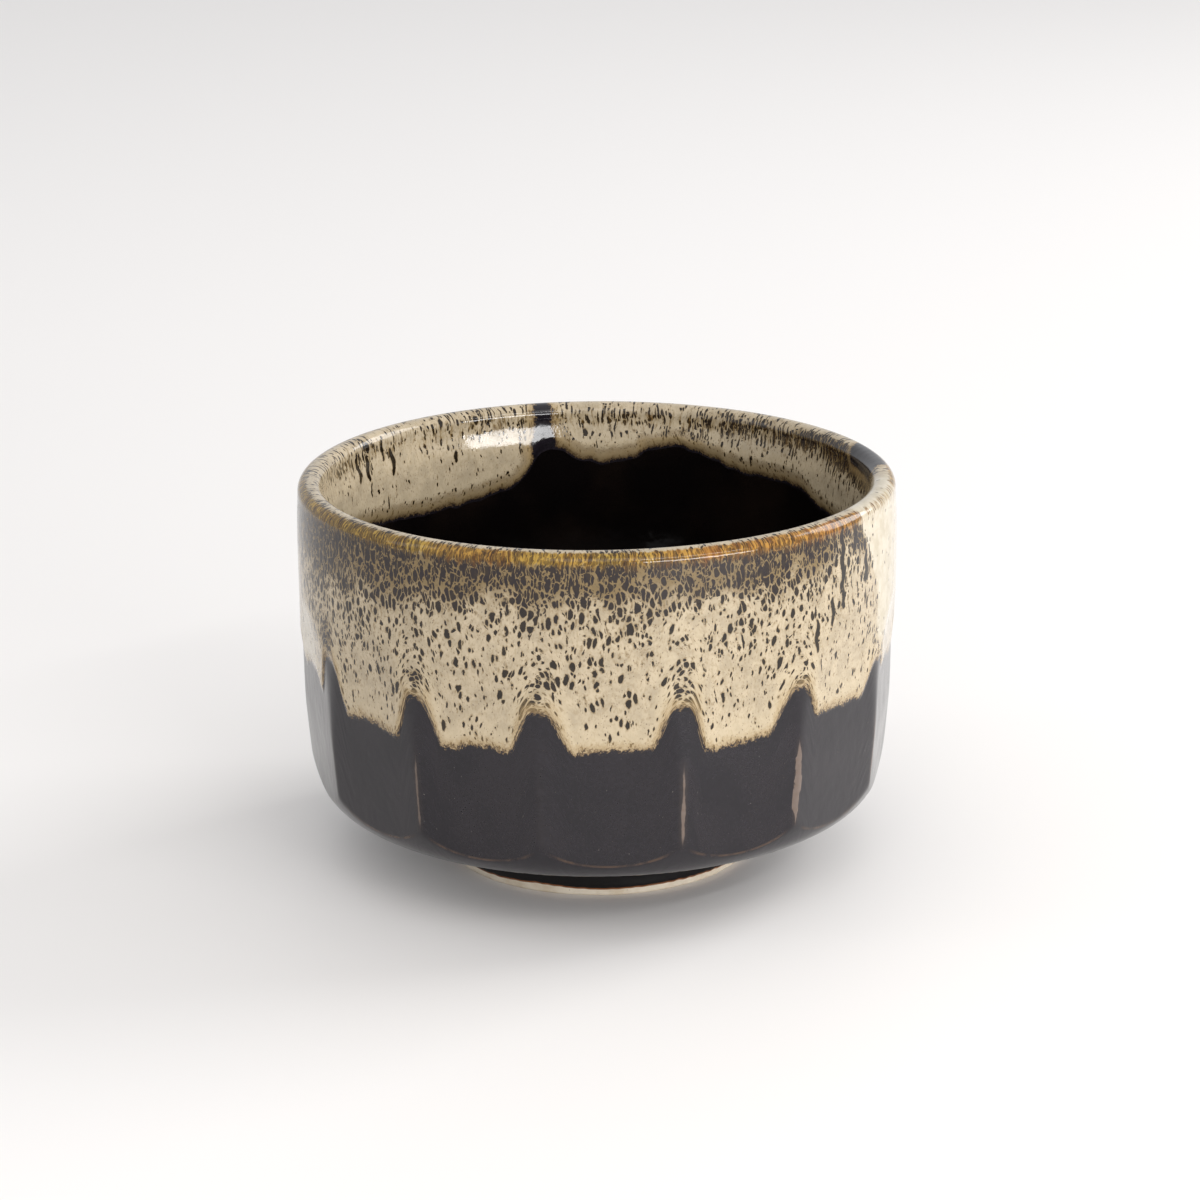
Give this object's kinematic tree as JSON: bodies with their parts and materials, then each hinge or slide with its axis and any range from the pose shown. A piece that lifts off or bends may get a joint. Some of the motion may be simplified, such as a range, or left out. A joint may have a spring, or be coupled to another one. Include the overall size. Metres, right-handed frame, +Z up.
{
  "type": "matcha bowl",
  "caption": "Cylindrical stoneware tea bowl with cut flats, a turned foot ring and layered speckled cream over dark glaze.",
  "frame": {"origin": "centre of the foot ring's resting face", "axes": "+Z up through the open mouth, -Y towards the side seen from the front, +X to the right of it"},
  "size_m": [0.1207, 0.1206, 0.0794],
  "materials": {
    "bare_clay": "matt",
    "foot_clay": "matt",
    "well_glaze": "gloss",
    "dark_glaze": "gloss",
    "black_glaze": "gloss",
    "amber_glaze": "gloss",
    "cream_glaze": "gloss",
    "inner_cream_glaze": "gloss"
  },
  "bodies": {
    "root": {"clay_body": "bare_clay", "foot_ring": "foot_clay", "foot_well_glaze": "well_glaze", "dark_glaze_outer": "dark_glaze", "dark_glaze_inner": "black_glaze", "rim_glaze": "amber_glaze", "cream_glaze_outer": "cream_glaze", "cream_glaze_inner": "inner_cream_glaze"}
  },
  "joints": []
}
